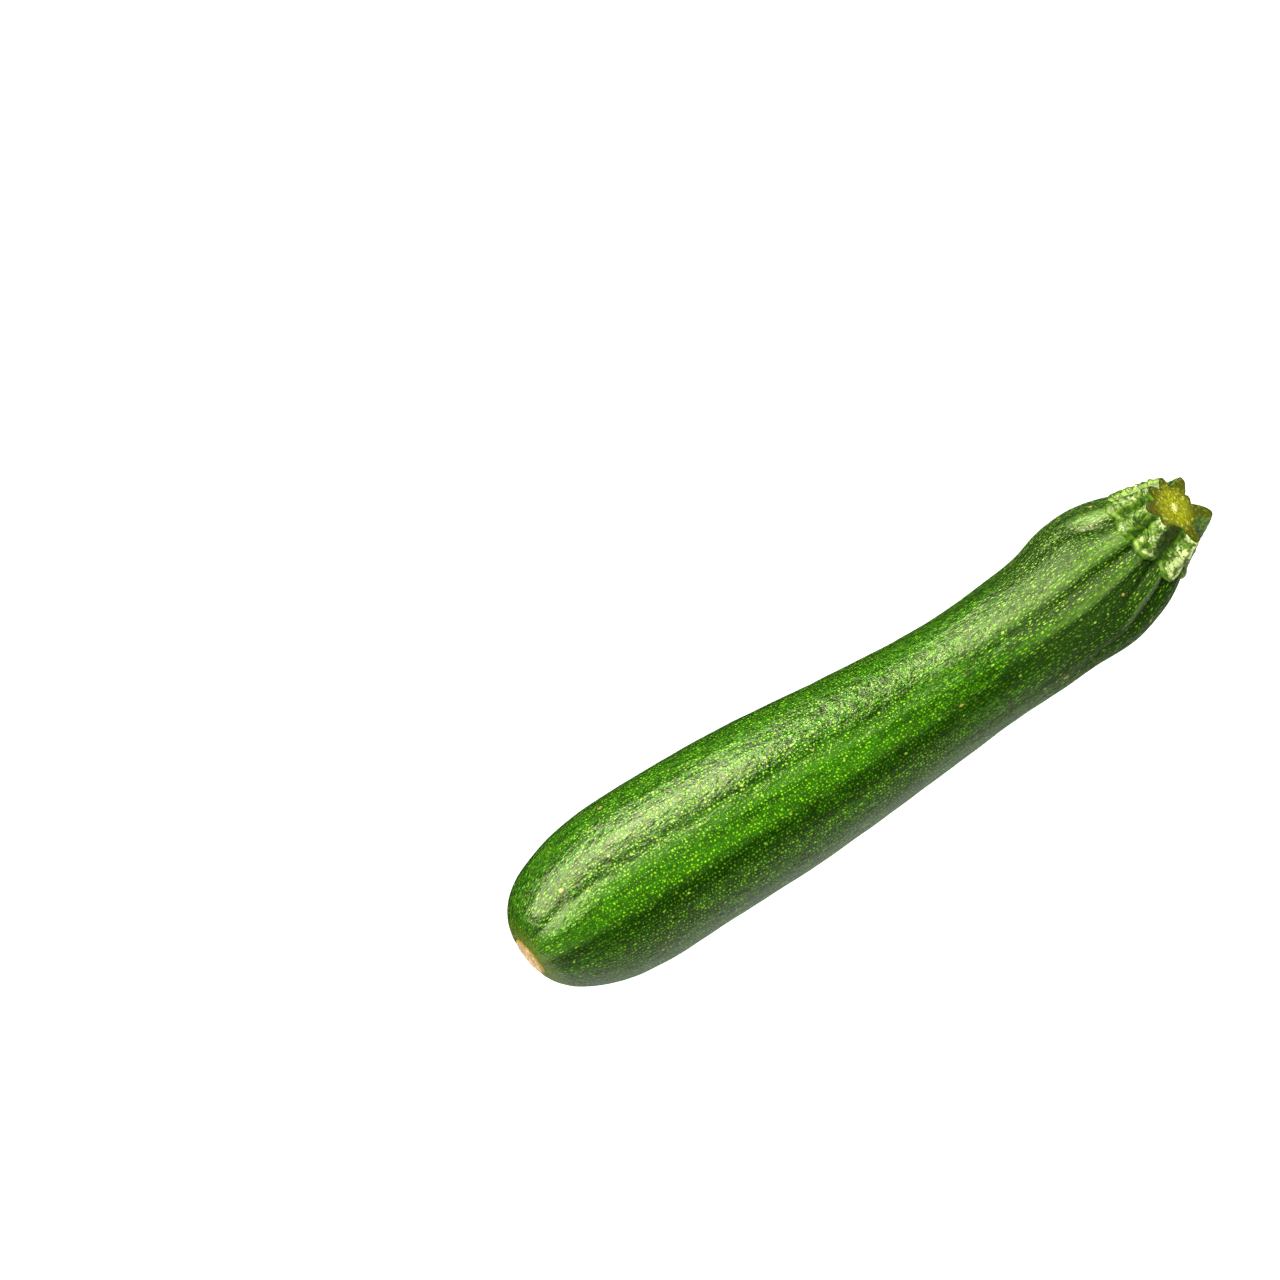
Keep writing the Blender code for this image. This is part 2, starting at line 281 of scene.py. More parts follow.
def skin_drop(stations, turn):
    """Depth below the smooth girth in millimetres, and the furrow share that the finish also uses."""
    share = furrow_shares(stations, turn)
    drop = smooth(FURROW_DEPTH, stations)[..., 0] * share
    near_stem = np.clip((stations - 132) / 36, 0, 1)
    near_scar = np.clip(1 - stations / 9, 0, 1)
    for depth, length_mm, round_deg, seed in DENTS:
        drop += depth * (1 + unevenness(stations, turn, length_mm, round_deg, seed))
    wrinkle_depth = WRINKLE_DEPTH + WRINKLE_DEPTH_NEAR_STEM * near_stem
    drop += wrinkle_depth * (1 + unevenness(stations, turn, 30, 5, 4))
    crinkle_turn = turn * CRINKLES + 40 * unevenness(stations, turn, 3, 20, 5)
    drop += CRINKLE_DEPTH * near_scar**1.5 * (1 + np.cos(np.radians(crinkle_turn)))
    return drop, share


SCAR_LEAN, SCAR_RADIUS, SCAR_DEPTH = 1.7, 5.0, 0.55


def scar_lean(stations, radii):
    """How far a point near the scar moves along the fruit, in millimetres. The scar faces a little upward."""
    height = np.minimum(radii, SCAR_RADIUS) * round_up / SCAR_RADIUS
    return SCAR_LEAN * (1 + height) / 2 * np.clip(1 - (stations - first_station) / 6, 0, 1) ** 2


along, up, side = axis_frame(skin_stations)
turn = np.broadcast_to(degrees, (len(skin_stations), SIDES))
station_grid = np.broadcast_to(skin_stations[:, None], turn.shape)
ease = np.clip((skin_stations - first_station) / 2.5, 0, 1)[:, None]
drop, furrow_share = skin_drop(station_grid, turn)
reach = girth(skin_stations)[:, None] - drop * ease
round_up, round_side = np.cos(np.radians(degrees)), np.sin(np.radians(degrees))
skin_rings = axis_point(skin_stations)[:, None, :] + reach[..., None] * (
    round_up[None, :, None] * up[:, None, :] + round_side[None, :, None] * side[:, None, :]
)
skin_rings = skin_rings + scar_lean(station_grid, reach)[..., None] * along[:, None, :]
print("deepest furrow:", round(float(drop.max()), 2), "mm")

# %% [markdown]
# The scar is the dry place where the blossom fell off. It is a shallow dish with a raised rim, made by a few
# flat rings that close the tube. It leans back a little, so a thin crescent of it shows from above. At the
# other end the rings close in a low crown, which the stub covers.

# %% The blossom scar and the crown under the stem
def flat_rings(station, radii, lifts, rough_mm, seed):
    """Rings across the axis at one station, lifted along it, with a little roughness."""
    centre = axis_point(np.array([station]))[0]
    direction, above, beside = (v[0] for v in axis_frame(np.array([station])))
    rough = rough_mm * unevenness(np.array(radii)[:, None] * 4, degrees[None, :], 3, 20, seed)
    lift = np.array(lifts)[:, None] + rough
    around = round_up[:, None] * above + round_side[:, None] * beside
    return centre + np.array(radii)[:, None, None] * around + lift[..., None] * direction


scar_direction = axis_frame(np.array([0.0]))[0][0]
scar_rings = flat_rings(0.0, scar[:, 1], scar[:, 0] + 0.1, 0.1, 11)
scar_rings = scar_rings + scar_lean(scar[:, :1], scar[:, 1:])[..., None] * scar_direction
rim = float(girth(np.array([STEM_STATION]))[0])
CROWN_RISE, CROWN_SINK, SHOULDER_FALL = 2.4, 0.3, 0.8
crown_shares = np.linspace(0.86, 0.2, 8)
crown_lifts = CROWN_RISE * (1 - crown_shares**2) - CROWN_SINK
crown_rings = flat_rings(STEM_STATION, rim * crown_shares, crown_lifts, 0.0, 12)
rings = np.concatenate([scar_rings, skin_rings, crown_rings])
rings[..., 2] = np.maximum(rings[..., 2], 0)

# %% [markdown]
# Near the stem a few ribs carry a pale line along their crest. Its colour is partly their wax and partly a
# painted sheen where the crest catches the highlight. A line could be painted by hand. Here each is a row of
# angles along the fruit, so it follows its rib exactly, and it fades towards the belly.

# %% Ribs with a crest of pale wax and painted sheen
# Station, angle of the crest, half width in degrees, and how pale it is.
RIB_WAX_AND_SHEEN_ROWS = (
    ((112.0, 24.0, 6.0, 0.0), (135.0, 20.0, 6.0, 0.45), (156.0, 18.0, 6.0, 0.9), (173.8, 18.0, 8.0, 1.0)),
    ((125.0, -6.0, 6.0, 0.0), (145.0, -9.0, 5.5, 0.7), (156.0, -9.5, 5.0, 1.0), (173.8, -10.0, 5.0, 0.7)),
    ((150.0, -50.0, 3.0, 0.0), (156.0, -49.0, 2.6, 0.25), (162.0, -47.0, 2.6, 1.0), (173.8, -42.0, 3.5, 1.0)),
    ((150.0, 66.0, 9.0, 0.0), (160.0, 66.0, 9.0, 0.2), (168.0, 62.0, 9.0, 0.9), (173.8, 60.0, 9.0, 1.0)),
)


def rib_wax_and_sheen_share(stations, turn):
    """How much pale wax and painted sheen lie on the crests near the stem, from 0 to 1."""
    pale = np.zeros(np.broadcast(stations, turn).shape)
    for rib in RIB_WAX_AND_SHEEN_ROWS:
        row = smooth(rib, np.clip(stations, rib[0][0], rib[-1][0]))
        away = angle_from(turn, row[..., 0]) / row[..., 1]
        pale = np.maximum(pale, row[..., 2] * np.exp(-(away**2)))
    return pale

# %% Put the skin together
def spread(values):
    return np.broadcast_to(np.asarray(values, float)[:, None], (len(values), SIDES))


scar_count, crown_count = len(scar_rings), len(crown_rings)
all_stations = np.concatenate([scar[:, 0], skin_stations, np.full(crown_count, STEM_STATION)])
all_radii = np.concatenate([spread(scar[:, 1]), reach, spread(rim * crown_shares)])
all_furrows = np.concatenate([np.zeros((scar_count, SIDES)), furrow_share, np.ones((crown_count, SIDES))])
profile = np.stack([all_stations, all_radii.mean(1)], -1)
skin_length = np.concatenate([[0], np.cumsum(np.linalg.norm(np.diff(profile, axis=0), axis=1))])
# Straightened places, in millimetres: patterns in the finish then follow the bend of the fruit.
straight = np.stack([spread(all_stations), all_radii * round_up, all_radii * round_side], -1)
direction = axis_frame(np.array([0.0, STEM_STATION]))[0]
tip_lifts = np.array([[SCAR_DEPTH + SCAR_LEAN / 2], [CROWN_RISE - CROWN_SINK]])
ends = axis_point(np.array([0.0, STEM_STATION])) + direction * tip_lifts
facts = {
    "straight": straight,
    "furrow": all_furrows[..., None],
    "skin_length": spread(skin_length)[..., None],
    "rib_wax_and_sheen": rib_wax_and_sheen_share(spread(all_stations), degrees[None, :])[..., None],
}
tips = {
    "straight": [[0, 0, 0], [STEM_STATION, 0, 0]],
    "furrow": [0, 1],
    "skin_length": [0, skin_length[-1]],
    "rib_wax_and_sheen": [0, 0],
}
fruit_skin = ring_mesh("fruit_skin", rings, ends[0], ends[1], facts, tips)
print("length over the skin, mm:", round(float(skin_length[-1]), 1))
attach(fruit_skin, "root")
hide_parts("fruit")

# %% [markdown]
# ## The stem stub
#
# The stub flares from a small star-shaped cut to a wide foot on the fruit's shoulder. It is a second tube of
# rings between two planes: the foot's plane, square to the fruit, and the plane of the slanting cut. A
# straight stub could be made first and cut off aslant with a boolean. Turning the rings from one plane into
# the other keeps the faces regular up to the cut's sharp rim, so the bumps stay even.
#
# Nine lobes run from foot to cut. Warts sit on most of them, and one lobe stays smooth.

# %% The two planes of the stub
PITH, CUT_LIFT_DEG = (182.4, 5.1, 26.0), 44.0
STEM_FOOT_VALLEY, STEM_CUT_VALLEY, SEAT_GAP = 10.8, 5.5, 0.3
# For each lobe: angle and reach at the foot, angle and reach at the cut, half width in degrees, and how much
# pale wax its crest gets, a colour that also paints the crest's highlight.
STEM_LOBES = (
    (24.0, 13.4, 21.0, 9.8, 16.0, 0.5),
    (60.0, 13.3, 57.0, 8.6, 15.0, 0.5),
    (90.0, 12.9, 100.0, 7.8, 14.0, 0.4),
    (143.0, 13.2, 150.5, 9.3, 15.0, 0.4),
    (200.0, 12.8, 182.0, 6.6, 13.0, 0.4),
    (243.0, 13.6, 211.0, 12.2, 12.0, 0.4),
    (277.0, 13.2, 240.0, 6.8, 12.0, 0.5),
    (309.0, 14.0, 270.0, 10.0, 14.0, 1.9),
    (354.0, 13.2, 348.0, 7.4, 16.0, 1.0),
)
lift = math.radians(CUT_LIFT_DEG)
foot_along, foot_up, foot_side = (v[0] for v in axis_frame(np.array([STEM_STATION])))
foot_centre = axis_point(np.array([STEM_STATION]))[0]
pith = np.array([PITH[0] - MIDDLE_STATION, PITH[1] - MIDDLE_SIDE, PITH[2]])
cut_up, cut_side = np.array([-math.sin(lift), 0, math.cos(lift)]), np.array([0.0, 1.0, 0.0])
cut_out = np.cross(cut_side, cut_up)
print("the cut leans", CUT_LIFT_DEG, "degrees back from upright")

# %% Lobes
STEM_SIDES = 420
foot_degrees = np.arange(STEM_SIDES) * 360 / STEM_SIDES
lobe_foot = np.array([lobe[0] for lobe in STEM_LOBES])
lobe_turn = np.array([lobe[2] - lobe[0] for lobe in STEM_LOBES])


def side_angles(share):
    """Angle of each side of the stub at this share of the way up. The sides lean as the lobes do."""
    return foot_degrees + share * np.interp(foot_degrees, lobe_foot, lobe_turn, period=360)


def stem_reach(share, turn):
    """Reach of the surface from the stub's axis, and how much pale wax and painted highlight it gets there.
    """
    valley = STEM_FOOT_VALLEY + (STEM_CUT_VALLEY - STEM_FOOT_VALLEY) * share**0.65
    tallest = np.zeros(np.broadcast(share, turn).shape)
    lobe_wax_and_sheen = np.zeros_like(tallest)
    for foot_at, foot_reach, cut_at, cut_reach, half_width, wax in STEM_LOBES:
        away = np.abs(angle_from(turn, foot_at + (cut_at - foot_at) * share)) / half_width
        rise = (foot_reach + (cut_reach - foot_reach) * share - valley) * np.exp(-(away**2.6))
        tallest = np.maximum(tallest, rise)
        lobe_wax_and_sheen = np.maximum(lobe_wax_and_sheen, wax * np.exp(-(away**3)))
    return valley + tallest, lobe_wax_and_sheen


# %% [markdown]
# The stub's rind is rough. Warts are low, rounded hills thrown at random over it. Between them run creases,
# which are found where a smooth random field crosses zero: such places form thin, wandering lines. Both are
# real relief, as they show in the outline of the stub.

# %% Warts and creases
WART_COUNT, SMOOTH_LOBE_DEG, STUB_LENGTH, MM_PER_DEG = 210, 25, 13, 0.2


def warts(share, turn):
    """Rounded warts, in millimetres. The one smooth lobe has almost none."""
    dice = np.random.RandomState(7)
    height = np.zeros(np.broadcast(share, turn).shape)
    for _ in range(WART_COUNT):
        at, angle = dice.uniform(0.03, 0.97), dice.uniform(0, 360)
        wide, tall = dice.uniform(2.2, 5.0), dice.uniform(0.15, 0.5)
        if abs(angle_from(angle, SMOOTH_LOBE_DEG)) < 14:
            tall *= 0.15
        along_stub = (share - at) * STUB_LENGTH / (wide * MM_PER_DEG)
        near = along_stub**2 + (angle_from(turn, angle) / wide) ** 2
        height = np.maximum(height, tall * np.exp(-(near**1.3)))
    return height


def creases(share, turn):
    """Narrow creases where two smooth random fields cross zero, from 0 to 1."""
    first = np.abs(unevenness(share * STUB_LENGTH, turn, 3.2, 11, 22))
    second = np.abs(unevenness(share * STUB_LENGTH, turn, 2.2, 14, 23))
    return np.maximum(np.exp(-((first / 0.10) ** 2)), np.exp(-((second / 0.08) ** 2)))


# %% Rings up the stub
up_shares = np.linspace(0, 1, 76)[:, None]
turn = side_angles(up_shares)
around = np.broadcast_to(foot_degrees, turn.shape)
inside = np.clip((1.0 - up_shares) * 9, 0, 1) * np.clip(up_shares * 14 + 0.2, 0, 1)
wart = warts(up_shares, around) * inside
crease = creases(up_shares, around) * inside
CREASE_DEPTH, WART_ROOM, STUB_GRAIN_HEIGHT = 0.28, 0.25, 0.12
stem_radius, lobe_wax_and_sheen = stem_reach(up_shares, turn)
stub_grain = unevenness(up_shares * 40, around, 3, 5, 21)
stem_radius = stem_radius + wart - CREASE_DEPTH * crease - WART_ROOM + STUB_GRAIN_HEIGHT * stub_grain


def seat(radius):
    """Height of the fruit's crown above the stem station, at this distance from the axis."""
    return np.where(radius > rim, -SHOULDER_FALL * (radius - rim), CROWN_RISE * (1 - (radius / rim) ** 2))


def stem_rings(share, turn, radius, sink):
    """Rings between the foot's plane and the cut's plane. sink moves a ring down into the fruit."""
    centre = foot_centre + (pith - foot_centre) * share[..., None]
    above = unit(foot_up + (cut_up - foot_up) * share[..., None])
    beside = unit(foot_side + (cut_side - foot_side) * share[..., None])
    angle = np.radians(turn)[..., None]
    settle = (seat(radius) + SEAT_GAP) * (1 - share) ** 3 - sink
    ring = centre + radius[..., None] * (np.cos(angle) * above + np.sin(angle) * beside)
    return ring + settle[..., None] * foot_along


flank = stem_rings(up_shares, turn, stem_radius, np.zeros_like(up_shares))
# The foot turns in under the flank: change of radius and depth of its rings, in millimetres.
FOOT_TURNS, FOOT_SINKS = (-2.2, -1.0, -0.35, -0.05, 0.05), (2.6, 2.3, 1.7, 1.0, 0.45)
foot_share = np.zeros((len(FOOT_TURNS), 1))
foot_radius = stem_radius[:1] + np.array(FOOT_TURNS)[:, None]
foot = stem_rings(foot_share, side_angles(foot_share), foot_radius, np.array(FOOT_SINKS)[:, None])
print("stub is", round(float(np.linalg.norm(pith - foot_centre)), 1), "mm from foot to pith")

# %% [markdown]
# The cut is a star of moist tissue. Its rings shrink towards the pith, just inside the rim, and they are
# roughened a little, as a knife leaves them. One flat face would be simpler, but it couldn't be roughened.
# The finish needs two distances at each point, from the pith and from the rim, so both are kept with the
# mesh.

# %% The cut face
face_shares = np.concatenate([[0.985, 0.96], np.linspace(0.93, 0.03, 46)])[:, None]
face_radius = stem_radius[-1:] * face_shares
cut_degrees = side_angles(1.0)
grain = unevenness(face_radius * 5, np.broadcast_to(cut_degrees % 360, face_radius.shape), 3, 5, 31)
HOLLOW_DEPTH, KNIFE_MARK_HEIGHT = 0.16, 0.10
hollow = np.clip((0.97 - face_shares) * 9, 0, 1)
face_lift = -HOLLOW_DEPTH * hollow + KNIFE_MARK_HEIGHT * grain * hollow
angle = np.radians(cut_degrees)[None, :, None]
face = pith + face_radius[..., None] * (np.cos(angle) * cut_up + np.sin(angle) * cut_side)
face = face + face_lift[..., None] * cut_out
stub_rings = np.concatenate([foot, flank, face])

# %% Put the stub together
count = len(stub_rings)
foot_n, flank_n, face_n = len(foot), len(flank), len(face)
no_foot, no_flank, no_face = (np.zeros((rows, STEM_SIDES)) for rows in (foot_n, flank_n, face_n))
LOBE_HEIGHT = 2.6
lobe_share = np.clip((stem_radius - stem_radius.min(1, keepdims=True)) / LOBE_HEIGHT, 0, 1)
facts = {
    "from_pith": (foot_radius, stem_radius, face_radius),
    "wart": (no_foot, wart, no_face),
    "valley": (no_foot + 0.5, 1 - lobe_share, no_face),
    "rim_gap": (no_foot, no_flank, stem_radius[-1:] - face_radius),
    "crease": (no_foot, crease, no_face),
    "lobe_wax_and_sheen": (no_foot, lobe_wax_and_sheen, no_face),
}
facts = {name: np.concatenate(values)[..., None] for name, values in facts.items()}
tips = {name: [0, 0] for name in facts} | {"rim_gap": [0, 5]}
under = foot_centre + foot_along * (CROWN_RISE - FOOT_SINKS[0])
stem_stub = ring_mesh("stem_stub", stub_rings, under, pith - cut_out * 0.1, facts, tips)
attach(stem_stub, "root")
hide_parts("stem")

# %% [markdown]
# ## Finishes
#
# Each finish is a Principled shader fed by procedural patterns. A painted picture wrapped round the fruit
# would do too, but it blurs close up, and patterns don't. They read the straightened places that were kept
# with the mesh, in millimetres, so a speck is as large here as on the real skin. A few helpers add the nodes,
# to keep the finishes themselves short.

# %% Helpers for node materials
def new_finish(name):
    finish = bpy.data.materials.new(name)
    finish.use_nodes = True
    return finish, finish.node_tree.nodes["Principled BSDF"]


def add(finish, kind, settings, inputs):
    """A node with its settings, and each input linked or set."""
    made = finish.node_tree.nodes.new(kind)
    for key, value in settings.items():
        setattr(made, key, value)
    for socket, value in inputs.items():
        if isinstance(value, bpy.types.NodeSocket):
            finish.node_tree.links.new(value, made.inputs[socket])
        else:
            made.inputs[socket].default_value = value
    return made


def kept(finish, name):
    """A value that was kept with the mesh."""
    return add(finish, "ShaderNodeAttribute", {"attribute_name": name}, {})


def calc(finish, operation, a, b=0.0):
    return add(finish, "ShaderNodeMath", {"operation": operation}, {0: a, 1: b}).outputs[0]


def fade(finish, value, low, high, to_low=0.0, to_high=1.0):
    """A smooth step between two values."""
    settings = {"interpolation_type": "SMOOTHSTEP"}
    inputs = {"Value": value, "From Min": low, "From Max": high, "To Min": to_low, "To Max": to_high}
    return add(finish, "ShaderNodeMapRange", settings, inputs).outputs[0]


def tint(finish, share, below, above):
    """One colour laid over another."""
    return add(finish, "ShaderNodeMix", {"data_type": "RGBA"}, {0: share, 6: below, 7: above}).outputs[2]


def stretch(finish, places, sizes):
    return add(finish, "ShaderNodeVectorMath", {"operation": "MULTIPLY"}, {0: places, 1: sizes}).outputs[0]


def cloud(finish, places, scale, detail=2.0):
    inputs = {"Vector": places, "Scale": scale, "Detail": detail}
    return add(finish, "ShaderNodeTexNoise", {}, inputs).outputs[0]


def between(finish, share, low, high):
    """A share from 0 to 1, moved to the range from low to high."""
    inputs = {"Value": share, "To Min": low, "To Max": high}
    return add(finish, "ShaderNodeMapRange", {}, inputs).outputs[0]


def throw_dice(finish, dimensions, inputs):
    """White noise: a random value and a random colour that depend only on the inputs."""
    return add(finish, "ShaderNodeTexWhiteNoise", {"noise_dimensions": dimensions}, inputs)

# %% [markdown]
# Specks are made as a scatter of dots. The skin is divided into a grid, and each cell of the grid gets one
# dot. White noise, read with the number of the cell, throws the dice for it: where in its cell the dot lies,
# how large it is, and whether it is there at all. Each row of cells is also shifted by its own amount along
# the fruit.

# %% A scatter of dots
DOT_SIZES, DOT_PLACES = (0.55, 1.3), (0.25, 0.75)


def scatter(finish, along, around, step, rows, dot, chance, seed):
    """Light dots in a jittered grid: steps along the fruit, and a whole number of rows round it.

    dot is half the length and half the width of a dot, as parts of a grid cell. The result is 1 in the middle
    of a dot and 0 between the dots.
    """
    row = calc(finish, "MULTIPLY", around, rows / (2 * math.pi))
    row_index = calc(finish, "FLOOR", row)
    shift = throw_dice(finish, "1D", {"W": row_index}).outputs["Value"]
    cell = calc(finish, "ADD", calc(finish, "DIVIDE", along, step), calc(finish, "MULTIPLY", shift, 7.0))
    cell_index = calc(finish, "FLOOR", cell)
    key = add(finish, "ShaderNodeCombineXYZ", {}, {0: cell_index, 1: row_index, 2: seed}).outputs[0]
    throws = throw_dice(finish, "3D", {"Vector": key}).outputs["Color"]
    throws = add(finish, "ShaderNodeSeparateColor", {}, {0: throws}).outputs
    size = between(finish, throws[2], *DOT_SIZES)
    reach = []
    axes = ((cell, cell_index, throws[0], dot[0]), (row, row_index, throws[1], dot[1]))
    for place, index, throw, half in axes:
        middle = between(finish, throw, *DOT_PLACES)
        away = calc(finish, "SUBTRACT", calc(finish, "SUBTRACT", place, index), middle)
        away = calc(finish, "DIVIDE", calc(finish, "DIVIDE", away, half), size)
        reach.append(calc(finish, "MULTIPLY", away, away))
    edge = fade(finish, calc(finish, "ADD", reach[0], reach[1]), 0.35, 1.3, 1.0, 0.0)
    lit = throw_dice(finish, "4D", {"Vector": key, "W": 3.7}).outputs["Value"]
    return calc(finish, "MULTIPLY", edge, fade(finish, lit, 1.0 - chance, 1.25 - chance))


# %% [markdown]
# ### The fruit's finish
#
# The skin is a saturated dark green under a thin wax. Long streaks are lighter or darker, the furrows get
# painted shade, and a few bands round the fruit are painted light and painted shade. Everywhere it is covered
# in small yellow-green specks, in rows as they grow: nearly round on the belly, and drawn out into dashes
# near both ends. The wax makes one long highlight, broken up by fine grain.

# %% Greens of the skin
skin, shader = new_finish("zucchini_skin")
place = kept(skin, "straight").outputs["Vector"]
furrow = kept(skin, "furrow").outputs["Fac"]
along_skin = kept(skin, "skin_length").outputs["Fac"]
parts = add(skin, "ShaderNodeSeparateXYZ", {}, {0: place})
station = parts.outputs[0]
around = calc(skin, "ARCTAN2", parts.outputs[2], parts.outputs[1])
DEEP_GREEN = (0.0050, 0.022, 0.0009, 1)
MID_GREEN = (0.0105, 0.066, 0.0009, 1)
FRESH_GREEN = (0.0185, 0.102, 0.0012, 1)
RIB_WAX_AND_SHEEN_GREEN = (0.105, 0.175, 0.042, 1)
lengthwise = stretch(skin, place, (0.10, 1.0, 1.0))
mottle = cloud(skin, stretch(skin, place, (0.5, 1.0, 1.0)), 0.9, 4.0)
streak = cloud(skin, lengthwise, 0.42, 3.0)
green = tint(skin, fade(skin, streak, 0.36, 0.62), MID_GREEN, FRESH_GREEN)
green = tint(skin, fade(skin, mottle, 0.60, 0.38, 0.0, 0.8), green, DEEP_GREEN)
# Painted shade: the furrows are coloured darker, most on the way to the shoulder, where they are deepest.
to_shoulder = fade(skin, station, 110.0, 150.0, 0.25, 1.0)
furrow_shade = calc(skin, "MULTIPLY", fade(skin, furrow, 0.25, 1.0), to_shoulder)
green = tint(skin, furrow_shade, green, DEEP_GREEN)
rib_wax_and_sheen = kept(skin, "rib_wax_and_sheen").outputs["Fac"]
rib_grain = fade(skin, cloud(skin, stretch(skin, place, (0.35, 1.0, 1.0)), 1.8, 3.0), 0.35, 0.65, 0.55, 1.0)
# Pale crest colour: partly wax, partly a painted sheen of the highlight.
green = tint(skin, calc(skin, "MULTIPLY", rib_wax_and_sheen, rib_grain), green, RIB_WAX_AND_SHEEN_GREEN)

# %% [markdown]
# Each band is a stripe of painted light, or of painted shade, along one direction round the fruit. It is a
# smooth hill over the angle, and the same few nodes make each of them: two dark ones paint shade on the lower
# flank, and light ones paint highlight streaks on the top and light along the upper edge. Painted shade also
# darkens the shoulder as a whole, and only its crests, with their pale wax and painted sheen, stand out from
# it.

# %% Bands of painted light and painted shade
def band(finish, around, centre_deg, half_width_deg):
    """A smooth hill round one direction, from 0 to 1. around is measured from +Z towards +Y."""
    turned = calc(finish, "SUBTRACT", around, math.radians(centre_deg))
    limits = {0: turned, 1: math.pi, 2: -math.pi}
    wrapped = add(finish, "ShaderNodeMath", {"operation": "WRAP"}, limits).outputs[0]
    return fade(finish, calc(finish, "ABSOLUTE", wrapped), math.radians(half_width_deg), math.radians(4))


wander = fade(skin, cloud(skin, lengthwise, 0.25, 2.0), 0.35, 0.6, 0.55, 0.95)
PAINTED_LIGHT_GREEN, SHOULDER_SHADE_GREEN = (0.046, 0.150, 0.009, 1), (0.0085, 0.034, 0.0012, 1)
# Direction and half width in degrees, and strength, of each band.
PAINTED_LIGHT_BANDS = ((-12, 9, 0.40), (-2, 13, 0.30), (8, 8, 0.55), (70, 34, 0.30))
PAINTED_SHADE_BANDS = ((-25, 12, 0.85), (-55, 38, 0.62))
before_shoulder = fade(skin, station, 128.0, 106.0)
# Painted light: highlight streaks on the top and a lighter upper edge, fading out before the shoulder.
for centre, half_width, share in PAINTED_LIGHT_BANDS:
    amount = calc(skin, "MULTIPLY", band(skin, around, centre, half_width), share)
    amount = calc(skin, "MULTIPLY", calc(skin, "MULTIPLY", amount, wander), before_shoulder)
    green = tint(skin, amount, green, PAINTED_LIGHT_GREEN)
# Painted shade on the lower flank.
for centre, half_width, share in PAINTED_SHADE_BANDS:
    amount = calc(skin, "MULTIPLY", band(skin, around, centre, half_width), share)
    green = tint(skin, calc(skin, "MULTIPLY", amount, wander), green, DEEP_GREEN)

# Painted shade: the shoulder is coloured darker as a whole, except on its crests.
off_ribs = fade(skin, rib_wax_and_sheen, 0.05, 0.5, 1.0, 0.0)
shade = calc(skin, "MULTIPLY", fade(skin, station, 122.0, 150.0, 0.0, 0.80), off_ribs)
green = tint(skin, shade, green, SHOULDER_SHADE_GREEN)

# %% [markdown]
# Four scatters make the specks: round ones and finer ones on the belly, dashes near both ends, and a few
# large pale ones everywhere. Where the skin is mottled, and under the painted shade of the lower flank, the
# specks are dimmer.

# %% Rows of specks
SPECK_GREEN, PALE_SPECK = (0.210, 0.390, 0.010, 1), (0.300, 0.420, 0.060, 1)
near_ends = calc(skin, "MAXIMUM", fade(skin, station, 96.0, 138.0), fade(skin, station, 26.0, 10.0))
# Each scatter: step in millimetres, rows round the fruit, dot sizes, chance of a dot, and seed.
round_specks = scatter(skin, along_skin, around, 1.00, 128, (0.24, 0.23), 0.88, 1.0)
fine_specks = scatter(skin, along_skin, around, 0.66, 176, (0.22, 0.22), 0.80, 2.0)
dashes = scatter(skin, along_skin, around, 1.40, 112, (0.31, 0.15), 0.88, 3.0)
large_specks = scatter(skin, along_skin, around, 4.1, 34, (0.085, 0.085), 0.30, 4.0)
fine_specks = calc(skin, "MULTIPLY", fine_specks, 0.6)
rounds = calc(skin, "MAXIMUM", round_specks, fine_specks)
lengths = calc(skin, "MAXIMUM", dashes, calc(skin, "MULTIPLY", fine_specks, 0.7))
small = add(skin, "ShaderNodeMix", {"data_type": "FLOAT"}, {0: near_ends, 2: rounds, 3: lengths}).outputs[0]
patchy = fade(skin, mottle, 0.35, 0.6, 0.45, 1.0)
# The specks are dimmed under the painted shade on the lower flank.
low_shade_veil = calc(skin, "MULTIPLY", band(skin, around, -60, 40), 0.6)
shade_veil = calc(skin, "MAXIMUM", band(skin, around, -26, 14), low_shade_veil)
patchy = calc(skin, "MULTIPLY", patchy, fade(skin, shade_veil, 0.0, 1.0, 1.0, 0.45))
small = calc(skin, "MULTIPLY", small, patchy)
all_specks = calc(skin, "MAXIMUM", small, large_specks)
green = tint(skin, calc(skin, "MULTIPLY", small, 0.95), green, SPECK_GREEN)
green = tint(skin, calc(skin, "MULTIPLY", large_specks, 0.7), green, PALE_SPECK)

# %% [markdown]
# The scar is dry cork, pale and brown in patches, with an orange edge and a yellow ring that fades into the
# green. Its colours depend on the distance from the fruit's axis, with a little noise added, so that its edge
# is ragged and not a perfect circle.

# %% The blossom scar, and a few corky flecks
YELLOW_RING, ORANGE_EDGE, FLECK = (0.16, 0.21, 0.012, 1), (0.36, 0.24, 0.04, 1), (0.30, 0.22, 0.07, 1)
PALE_CORK, BROWN_CORK = (0.60, 0.46, 0.27, 1), (0.38, 0.26, 0.13, 1)
radial = stretch(skin, place, (0.0, 1.0, 1.0))
from_axis = add(skin, "ShaderNodeVectorMath", {"operation": "LENGTH"}, {0: radial}).outputs["Value"]
at_tip = fade(skin, station, 3.5, 2.0)
ragged = calc(skin, "ADD", from_axis, calc(skin, "MULTIPLY", cloud(skin, place, 1.3), 1.2))
yellow_ring = calc(skin, "MULTIPLY", fade(skin, ragged, 14.0, 5.6), fade(skin, station, 8.0, 2.0))
green = tint(skin, calc(skin, "MULTIPLY", yellow_ring, 0.75), green, YELLOW_RING)
orange_edge = calc(skin, "MULTIPLY", fade(skin, ragged, 5.9, 5.3), at_tip)
